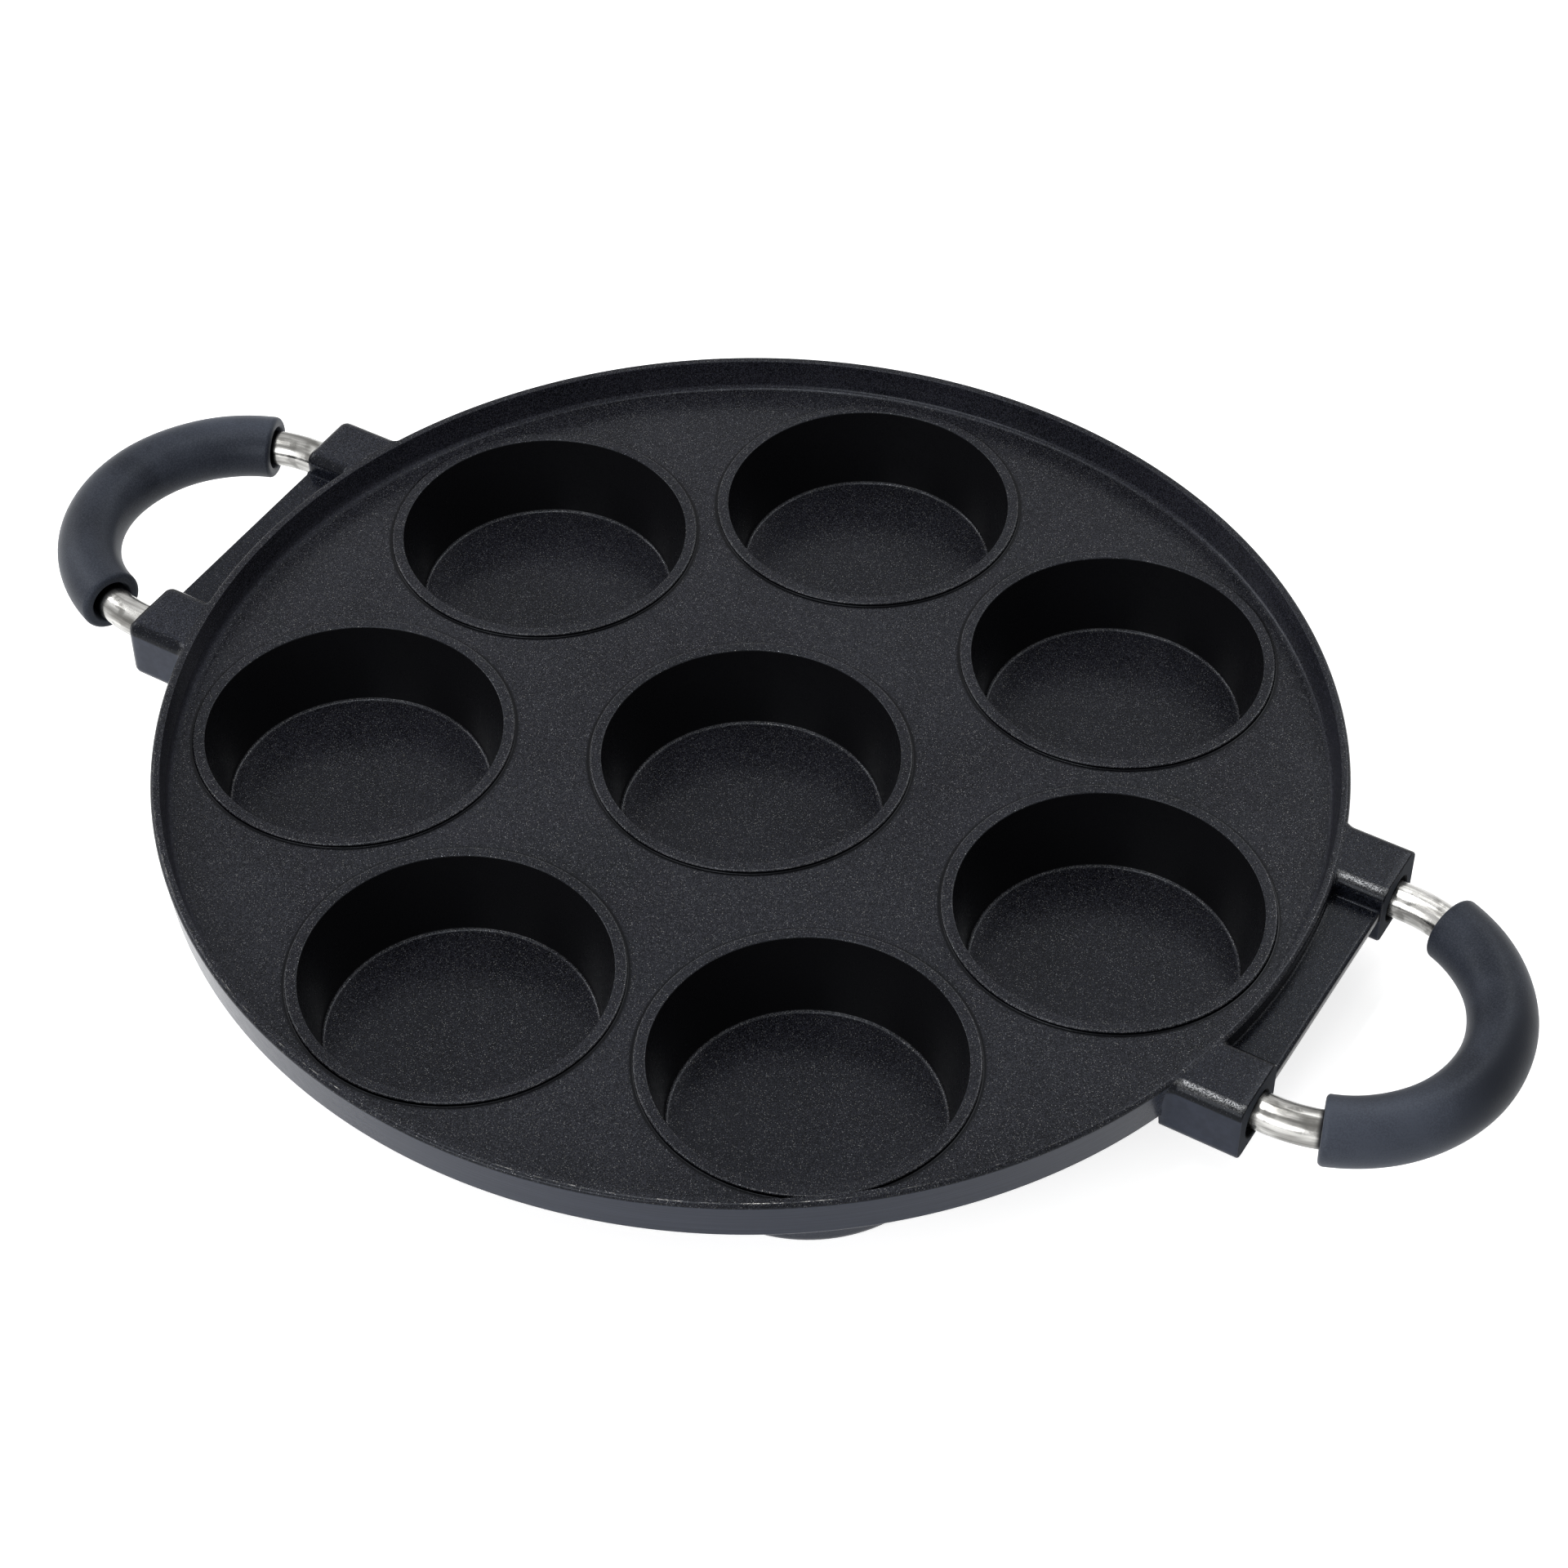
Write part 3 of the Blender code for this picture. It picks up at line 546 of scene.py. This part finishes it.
def panSkin():
    # Closed skin of the tray, its wells and their cups, all turned profiles joined by flat cells of plate
    wellLine = roundedLine([
        (pan["holeRadius"], pan["plateTop"]), (pan["lipRadius"], pan["plateTop"], 0.2, 3),
        (pan["lipRadius"], pan["lipTop"], 0.45, 5), (pan["mouth"], pan["lipTop"], 0.4, 5),
        (pan["floor"], pan["floorZ"], 1.0, 7), (0.0, pan["floorZ"])], hold=0.25)
    wellLine = fillGaps(wellLine, 4.0)
    cupLine = roundedLine([
        (pan["holeRadius"], pan["plateUnder"]), (pan["cupTop"], pan["plateUnder"], 1.8, 6),
        (pan["cupFoot"], 0.0, 4.0, 9), (0.0, 0.0)])
    cupLine = fillGaps(cupLine, 9.0)
    rimLine = roundedLine([
        (pan["topCell"], pan["plateTop"]), (pan["rimFoot"], pan["plateTop"], 1.6, 9),
        (pan["rimInner"], pan["rimTop"], 0.28, 5), (pan["rimOuter"], pan["rimTop"], 1.1, 9),
        (pan["rimUnder"], pan["plateUnder"], 0.8, 6), (pan["underCell"], pan["plateUnder"])], hold=0.12)
    around = pan["outerSteps"] + 2 * pan["sideSteps"] + pan["innerSteps"]
    columns = (np.arange(around) - pan["outerSteps"] / 2) * 2 * math.pi / around
    centreSteps = pan["innerSteps"] * pan["wells"]
    start = -math.pi / pan["wells"]
    centreColumns = start + np.arange(centreSteps) * 2 * math.pi / centreSteps
    rimSteps = pan["outerSteps"] * pan["wells"]
    rimColumns = start + np.arange(rimSteps) * 2 * math.pi / rimSteps
    patches = [turned(rimLine, rimColumns), turned(wellLine, centreColumns), turned(cupLine, centreColumns)]
    for height in (pan["plateTop"], pan["plateUnder"]):
        ring = np.array([[pan["innerCell"], height], [pan["holeRadius"], height]])
        patches.append(turned(ring, centreColumns))
    ringWell = [turned(line, columns, (pan["ringRadius"], 0.0)) for line in (wellLine, cupLine)]
    ringWell.append(plateCell(pan["topCell"], pan["plateTop"], columns))
    ringWell.append(plateCell(pan["underCell"], pan["plateUnder"], columns))
    for number in range(pan["wells"]):
        patches += [spun(grid, 2 * math.pi * number / pan["wells"]) for grid in ringWell]
    return surfaceMesh("panSkin", [(grid, False, True) for grid in patches])


lug = dict(
    middleY=39.25, halfWidth=9.6, faceX=160.0, top=32.085, under=14.8, shoulder=3.2, underRound=2.5,
    outerRoot=3.0, innerRoot=0.8, rimRadius=149.9, rootRadius=148.6, sharpEdge=0.45, softEdge=2.5,
    flareLow=17.5, flareHigh=26.0,
    boreRadius=6.0, boreZ=22.55, boreEnd=147.1, boreChamfer=0.3, screwX=153.5, screwY=38.6, screwHole=2.8,
)


def lugSide(side, edge):
    # Plan of one side of a lug: out of the rim along a hollow fillet, straight to the end, round its edge.
    # Gives x, the side's own y, how far the fillet flares out from it, and how far the section has drawn in.
    sideY = lug["middleY"] + side * lug["halfWidth"]
    root = lug["outerRoot"] if side > 0 else lug["innerRoot"]
    centreY = sideY + side * root
    reach = lug["rimRadius"] + root
    centreX = math.sqrt(reach ** 2 - centreY ** 2)
    first = math.atan2(-centreY, -centreX)
    sweep = (-side * math.pi / 2 - first + math.pi) % (2 * math.pi) - math.pi
    angles = first + sweep * np.linspace(0.0, 1.0, 13)
    start = np.array([[centreX, centreY]]) * lug["rootRadius"] / reach
    fillet = np.stack([centreX + root * np.cos(angles), centreY + root * np.sin(angles)], -1)
    straight = np.linspace(centreX, lug["faceX"] - edge, 8)[1:]
    turn = np.linspace(0.0, math.pi / 2, 7)[1:]
    curve = np.concatenate([start, fillet])
    rounded = lug["faceX"] - edge + edge * np.sin(turn)
    x = np.concatenate([curve[:, 0], straight, rounded, [lug["faceX"]]])
    flare = np.concatenate([curve[:, 1] - sideY, np.zeros(len(x) - len(curve))])
    drawn = np.concatenate([np.zeros(len(curve) + len(straight)), edge * (1 - np.cos(turn)), [edge + 0.3]])
    return x, sideY, flare, drawn


def tubeMesh(name, skin):
    # Sections carried along a line (rows of points), closed at both ends by faces to the section's middle
    tips = [np.broadcast_to(skin[row].mean(axis=0), skin[row].shape)[None] for row in (0, -1)]
    return surfaceMesh(name, [(np.concatenate([tips[0], skin, tips[1]]), False, True)])


def lugMesh(edge):
    # One lug: a rounded section (inset from its side, height) carried between two side lines, then bored.
    # The fillets by the rim fade out downwards, where the lug hangs clear below the rim.
    hold = 0.3
    low = np.linspace(0.0, math.pi / 2, 7)
    high = np.linspace(0.0, math.pi / 2, 10)
    under, shoulder = lug["underRound"], lug["shoulder"]
    inset = np.concatenate([[under + hold], under * (1 - np.sin(low)), [0, 0], shoulder * (1 - np.cos(high)),
                            [shoulder + hold]])
    height = np.concatenate([[lug["under"]], lug["under"] + under * (1 - np.cos(low)),
                             [lug["under"] + under + hold, lug["top"] - shoulder - hold],
                             lug["top"] - shoulder * (1 - np.sin(high)), [lug["top"]]])
    outward = np.concatenate([[0], np.sin(low), [1, 1], np.cos(high), [0]])
    upward = np.concatenate([[-1], -np.cos(low), [0, 0], np.sin(high), [1]])
    xA, sideA, flareA, drawn = lugSide(-1, edge)
    xB, sideB, flareB, drawn = lugSide(1, edge)
    pull = drawn[:, None]
    full = np.clip((height - lug["flareLow"]) / (lug["flareHigh"] - lug["flareLow"]), 0.0, 1.0)
    full = full * full * (3 - 2 * full)
    nearA = sideA + flareA[:, None] * full + inset + outward * pull
    nearB = (sideB + flareB[:, None] * full - inset - outward * pull)[:, ::-1]
    y = np.concatenate([nearA, nearB], axis=1)
    z = height - upward * pull
    z = np.concatenate([z, z[:, ::-1]], axis=1)
    share = (y - sideA) / (sideB - sideA)
    x = xA[:, None] + (xB - xA)[:, None] * share
    blank = tubeMesh("lugBlank", np.stack([x, y, z], axis=-1))
    angles = np.linspace(0, 2 * math.pi, 96, endpoint=False)
    bore, chamfer = lug["boreRadius"], lug["boreChamfer"]
    boreLine = np.array([(0, lug["boreEnd"]), (bore - 1.0, lug["boreEnd"]), (bore, lug["boreEnd"] + 1.0),
                         (bore, lug["faceX"] - chamfer), (bore + chamfer, lug["faceX"]),
                         (bore + chamfer + 2.0, lug["faceX"] + 2.0), (0, lug["faceX"] + 2.0)])
    tool = turned(boreLine, angles)
    boreTool = np.stack([tool[..., 2], lug["middleY"] + tool[..., 0], lug["boreZ"] + tool[..., 1]], axis=-1)
    hole = lug["screwHole"]
    holeLine = np.array([(0, lug["under"] - 2), (hole + 2.3, lug["under"] - 2), (hole, lug["under"] + 0.3),
                         (hole, lug["boreZ"]), (0, lug["boreZ"])])
    holeTool = turned(holeLine, angles[::2], (lug["screwX"], lug["screwY"]))
    cutters = [surfaceMesh("lugCutter", [(grid, False, True)]) for grid in (boreTool, holeTool)]
    return cutAway(blank, cutters)


web = dict(
    top=26.1, under=22.6, edgeX=159.5, edgeRound=0.9, rimTopSide=149.45, rimUnderSide=149.1,
    lugSideY=29.65, fillet=0.5,
)


def hollow(distance, radius):
    # Rise of a fillet of this radius at a distance from the wall: radius less the arc's own height
    inside = np.clip(radius - distance, 0.0, radius)
    return radius - np.sqrt(np.clip(radius ** 2 - inside ** 2, 0.0, None))


def webMesh():
    # The plate between two lugs: a closed section over x for every y, rising in fillets by rim and lugs
    fromLug = np.concatenate([[-1.5, -0.6], np.linspace(0, web["fillet"], 8), [1.6, 3.0, 8.0, 15.0, 22.0]])
    half = web["lugSideY"] - fromLug
    y = np.concatenate([-half, [0.0], half[::-1]])[:, None]
    across = np.concatenate([[-1.2, -0.5], np.linspace(0, web["fillet"], 8), [1.6, 2.6]])[None, :]
    straight = np.linspace(0.0, 1.0, 7)[None, 1:-1]
    turn = np.linspace(0, math.pi / 2, 6)[None, :]
    edge = web["edgeRound"]

    def halfSection(rim, level, sign):
        # One face of the plate, from inside the rim wall to its outer edge, and round that edge
        wall = np.sqrt(rim ** 2 - y ** 2)
        fromWall = wall + across
        last = fromWall[:, -1:]
        flatEnd = web["edgeX"] - edge
        run = last + (flatEnd - 0.3 - last) * straight
        x = np.concatenate([fromWall, run, np.full_like(y, flatEnd - 0.3),
                            np.full_like(y, flatEnd) + edge * np.sin(turn)], axis=1)
        drop = np.concatenate([np.zeros((1, x.shape[1] - turn.shape[1])), edge * (1 - np.cos(turn))], axis=1)
        byLug = hollow(web["lugSideY"] - np.abs(y), web["fillet"])
        byRim = hollow(np.sqrt(x ** 2 + y ** 2) - rim, web["fillet"])
        rise = np.where(x < flatEnd - 0.2, np.maximum(byRim, byLug), byLug)
        z = level + sign * (rise - drop)
        return np.stack([x, np.broadcast_to(y, x.shape), z], axis=-1)

    topFace = halfSection(web["rimTopSide"], web["top"], 1)
    underFace = halfSection(web["rimUnderSide"], web["under"], -1)
    return tubeMesh("web", np.concatenate([topFace, underFace[:, ::-1]], axis=1))


gusset = dict(
    middleY=39.25, halfWidth=7.1, topX=137.0, footX=142.0, endX=146.9, under=14.82, top=21.8, edge=1.6)


def gussetMesh():
    # The sloping rib that carries a lug's floor back under the plate: an outline in x and z, carried across y
    line = roundedLine([
        (gusset["endX"], gusset["top"]), (gusset["topX"], gusset["top"], 0.3, 2),
        (gusset["footX"], gusset["under"], 1.5, 6), (gusset["endX"], gusset["under"])], hold=0.2)
    line = fillGaps(line, 2.0)
    turn = np.linspace(0, math.pi / 2, 7)
    edge, half = gusset["edge"], gusset["halfWidth"]
    side = np.concatenate([[half], half - edge * (1 - np.cos(turn)), [0.0]])
    lift = np.concatenate([[edge + 0.3], edge * (1 - np.sin(turn)), [0.0]])
    across = np.concatenate([side, -side[::-1]])
    lift = np.concatenate([lift, lift[::-1]])
    x = np.broadcast_to(line[:, :1], (len(line), len(across)))
    z = np.maximum(line[:, 1:], gusset["under"] + lift[None])
    y = gusset["middleY"] + np.broadcast_to(across[None], x.shape)
    skin = np.stack([x, y, z], axis=-1)
    lid = np.stack([skin[..., 0], skin[..., 1], np.full(x.shape, gusset["top"])], axis=-1)
    return tubeMesh("gusset", np.concatenate([lid[:, :1], skin, lid[:, -1:]], axis=1))


coating = coatingMaterial()
rightLug, leftLug = lugMesh(lug["sharpEdge"]), lugMesh(lug["softEdge"])
webPlate, rib = webMesh(), gussetMesh()
copies = [(panSkin(), 1, 1), (webPlate, 1, 1), (webPlate, -1, 1)]
for ySign in (1, -1):
    copies += [(rightLug, 1, ySign), (leftLug, -1, ySign), (rib, 1, ySign), (rib, -1, ySign)]
addPiece("pan_casting", joinedMesh("panCasting", copies), coating, "coated_casting", "pan_body")


bar = dict(
    radius=4.7, legY=38.6, height=23.305, endX=147.4, bendX=162.4, chamfer=0.6, around=64, legSteps=40,
    dimpleX=153.5, dimpleRadius=2.8, dimpleZ=19.6,
)


def barPoints(travel, radius, angles):
    # A round section carried along the bar: two legs along x and a half circle between them.
    # travel runs from the middle of the bend; beyond a quarter turn either way it goes on along a leg.
    quarter = bar["legY"] * math.pi / 2
    bend = np.clip(travel, -quarter, quarter) / bar["legY"]
    leg = np.abs(travel) - quarter
    middleX = bar["bendX"] + bar["legY"] * np.cos(bend) - np.clip(leg, 0.0, None)
    middleY = bar["legY"] * np.sin(bend)
    out = radius * np.cos(angles)
    x = middleX + out * np.cos(bend)
    y = middleY + out * np.sin(bend)
    return np.stack([x, y, bar["height"] + radius * np.sin(angles)], axis=-1)


def barMesh(end):
    # The whole bar with its flat, chamfered ends, in UV lengths along it and round it
    quarter = bar["legY"] * math.pi / 2
    full = quarter + bar["bendX"] - bar["endX"]
    legMarks = np.concatenate([[full, full, full - 0.2],
                               np.linspace(full - bar["chamfer"], quarter, bar["legSteps"])])
    radii = np.concatenate([[0.0, bar["radius"] - bar["chamfer"], bar["radius"] - bar["chamfer"] * 0.6],
                            np.full(bar["legSteps"], bar["radius"])])
    bendMarks = np.linspace(-quarter, quarter, 91)[1:-1]
    travel = np.concatenate([-legMarks, bendMarks, legMarks[::-1]])[:, None]
    radius = np.concatenate([radii, np.full(len(bendMarks), bar["radius"]), radii[::-1]])[:, None]
    angles = np.linspace(0, 2 * math.pi, bar["around"], endpoint=False)[None, :]
    skin = barPoints(travel, radius, angles)
    # the set screws' dimples, sunk flat into the underside
    away = np.hypot(skin[..., 0] - bar["dimpleX"], np.abs(skin[..., 1]) - bar["legY"])
    sunk = (away < bar["dimpleRadius"]) & (skin[..., 2] < bar["dimpleZ"])
    skin[..., 2] = np.where(sunk, bar["dimpleZ"], skin[..., 2])
    skin[..., :2] *= end
    marks = (travel[:, 0], np.arange(bar["around"] + 1) * 2 * math.pi * bar["radius"] / bar["around"])
    return surfaceMesh("bar", [(skin, False, True)], marks, weld=0.005)


sleeve = dict(
    radius=8.48, bore=5.08, mouth=5.85, halfLength=47.83, endRound=1.2, mouthRound=0.7, boreRound=2.0,
    flare=2.4, around=80, skinFrom=6.5,
)


def sleeveMesh(end):
    # A closed loop (travel, radius) turned round the bar's bend: outer skin, rounded end, flared mouth, bore
    half = sleeve["halfLength"]
    oneEnd = [(half, sleeve["radius"], sleeve["endRound"], 9),
              (half, sleeve["mouth"], sleeve["mouthRound"], 5),
              (half - sleeve["flare"], sleeve["bore"], sleeve["boreRound"], 4)]
    otherEnd = [(-corner[0],) + corner[1:] for corner in oneEnd[::-1]]
    middle = (0.0, sleeve["radius"])
    loop = fillGaps(roundedLine([middle] + oneEnd + otherEnd + [middle], hold=0.2), 1.2)[:-1]
    travel, radius = loop[:, :1], loop[:, 1:]
    angles = np.linspace(0, 2 * math.pi, sleeve["around"], endpoint=False)[None, :]
    # the soft skin isn't quite even: it lies in by up to a tenth of a millimetre, in waves along and round it
    waves = np.sin(travel / 6.1 + end) * np.cos(2 * angles + travel / 11.0)
    give = 0.05 * (1 + waves) * (radius > sleeve["skinFrom"])
    skin = barPoints(travel, radius - give, angles)
    skin[..., :2] *= end
    return surfaceMesh("sleeve", [(skin, True, True)])


steel, rubber = steelMaterial(), rubberMaterial()
for side, end in (("right", 1), ("left", -1)):
    addPiece("polished_bar_" + side, barMesh(end), steel, "polished_steel", "handle_bar_" + side)
    addPiece("soft_sleeve_" + side, sleeveMesh(end), rubber, "grip_rubber", "grip_sleeve_" + side)


screw = dict(
    x=153.5, y=38.6, low=15.3, high=19.3, radius=2.48, pitch=0.8, threadDepth=0.4, chamfer=0.6,
    flats=1.25, socketDepth=2.2, rim=1.6, cupRadius=1.3, cupDepth=0.7, around=60,
)


def screwMesh(xSign, ySign):
    # Threaded pin: radius falls by a triangle wave of height / pitch - turn, cut by chamfers at both ends,
    # with a hexagon socket below (flats / cos of the angle from the nearest flat) and a cup on top
    angles = np.arange(screw["around"]) * 2 * math.pi / screw["around"]
    low, high = screw["low"], screw["high"]
    height = np.linspace(low, high, 61)[:, None]
    phase = (height / screw["pitch"] - angles / (2 * math.pi)) % 1.0
    thread = screw["radius"] - screw["threadDepth"] * (1 - np.abs(2 * phase - 1))
    limit = screw["radius"] - screw["chamfer"] + np.minimum(height - low, high - height)
    outer = np.minimum(thread, limit)
    hexagon = screw["flats"] / np.cos((angles + math.pi / 6) % (math.pi / 3) - math.pi / 6)
    nothing = np.zeros_like(angles)
    socket = [nothing, hexagon * 0.6, hexagon, hexagon, nothing + screw["rim"]]
    cup = [nothing + screw["cupRadius"], nothing]
    deep = low + screw["socketDepth"]
    radius = np.concatenate([np.stack(socket), outer, np.stack(cup)])
    height = np.concatenate([[deep + 0.35, deep + 0.2, deep, low + 0.12, low], height[:, 0],
                             [high, high - screw["cupDepth"]]])[:, None]
    x = xSign * screw["x"] + radius * np.cos(angles)
    y = ySign * screw["y"] + radius * np.sin(angles)
    return surfaceMesh("screw", [(np.stack([x, y, np.broadcast_to(height, x.shape)], axis=-1), False, True)])


blackOxide = screwMaterial()
for side, xSign in (("right", 1), ("left", -1)):
    for row, ySign in (("rear", 1), ("front", -1)):
        name = side + "_" + row
        addPiece("socket_screw_" + name, screwMesh(xSign, ySign), blackOxide, "blackened_steel",
                 "set_screw_" + name)


studio = dict(
    floorReach=4000.0, floorZ=-0.1,       # in millimetres
    floorColour=(0.8, 0.8, 0.8, 1.0), floorRoughness=0.9, ownLight=0.75, white=(1.0, 1.0, 1.0, 1.0),
    sky=(0.05, 0.4),                      # strength of the surroundings' light, from level and from above
    lamps=(                               # in metres and watts
        dict(name="rightStrip", place=(-0.07, -0.14, 1.0), aim=(-0.07, -0.14, 0.0), size=(0.1, 0.72),
             power=2.9),
        dict(name="leftStrip", place=(-0.4, -0.05, 1.0), aim=(-0.4, -0.05, 0.0), size=(0.2, 0.6), power=1.5),
        dict(name="behind", place=(0.14, 0.85, 1.0), aim=(0.0, 0.0, 0.0), size=(0.38, 0.8), power=4.0),
        dict(name="leftSide", place=(-1.2, -0.1, 0.75), aim=(0.0, 0.0, 0.02), size=(0.6, 0.6), power=5.8),
        dict(name="front", place=(-0.1, -1.2, 0.5), aim=(0.0, 0.0, 0.02), size=(0.9, 0.6), power=8.5),
    ),
)


def seenShare(tree):
    # One for rays from the camera, reflections and clear things, nothing for rays that gather light
    path = addNode(tree, "LightPath").outputs
    return most(path["Is Camera Ray"], path["Is Glossy Ray"], path["Is Transmission Ray"])


def makeFloor():
    # Wide pale floor just under the pan, with a light of its own for the rays that see it
    steps = np.linspace(-studio["floorReach"], studio["floorReach"], 5)
    x, y = np.meshgrid(steps, steps)
    flat = np.stack([x, y, np.full(x.shape, studio["floorZ"])], axis=-1)
    mesh = surfaceMesh("floor", [(flat, False, False)])
    if mesh.polygons[0].normal.z < 0:
        mesh.flip_normals()
    material, tree, shader = newMaterial("paleFloor")
    feed(shader, {
        "Base Color": studio["floorColour"], "Roughness": studio["floorRoughness"],
        "Specular IOR Level": 0.0, "Emission Color": studio["white"],
        "Emission Strength": times(seenShare(tree), studio["ownLight"])})
    mesh.materials.append(material)
    floor = bpy.data.objects.new("studio_floor", mesh)
    bpy.context.scene.collection.objects.link(floor)


def makeWorld():
    # White for the camera, reflections and clear things, dimmer where it lights
    world = bpy.data.worlds.new("paleStudio")
    bpy.context.scene.world = world
    world.use_nodes = True
    tree = world.node_tree
    height = addNode(tree, "SeparateXYZ", {0: addNode(tree, "TexCoord").outputs["Generated"]}).outputs[2]
    dim = ease(height, 0.0, 0.9, *studio["sky"])
    level = addNode(tree, "MapRange", {0: seenShare(tree), 3: dim, 4: 1.0}).outputs[0]
    feed(tree.nodes["Background"], {"Color": studio["white"], "Strength": level})


def makeLamp(name, place, aim, size, power):
    # A flat lamp at its place, turned to face its aim
    light = bpy.data.lights.new(name, "AREA")
    light.shape = "RECTANGLE"
    light.size, light.size_y = size
    light.energy = power
    lamp = bpy.data.objects.new(name, light)
    toward = Vector(aim) - Vector(place)
    lamp.matrix_world = Matrix.Translation(place) @ toward.to_track_quat("-Z", "Y").to_matrix().to_4x4()
    bpy.context.scene.collection.objects.link(lamp)


view = dict(
    place=(0.3372, -0.5510, 0.6707), right=(0.8596, 0.5110, 0.0), up=(-0.3644, 0.6130, 0.7010),
    back=(0.3582, -0.6026, 0.7132), lens=83.0, sensor=36.0,
)


def makeCamera():
    # Place and turn were fitted to the rim and the wells in the photo. The axes are the turn's columns.
    camera = bpy.data.cameras.new("camera")
    camera.lens = view["lens"]
    camera.sensor_width = view["sensor"]
    camera.sensor_fit = "HORIZONTAL"
    camera.clip_start = 0.01
    viewer = bpy.data.objects.new("camera", camera)
    turn = Matrix((view["right"], view["up"], view["back"])).transposed()
    viewer.matrix_world = Matrix.Translation(view["place"]) @ turn.to_4x4()
    bpy.context.scene.collection.objects.link(viewer)
    bpy.context.scene.camera = viewer


makeFloor()
makeWorld()
for lamp in studio["lamps"]:
    makeLamp(**lamp)
makeCamera()
bpy.context.scene.view_settings.view_transform = "Standard"
print("studio ready")
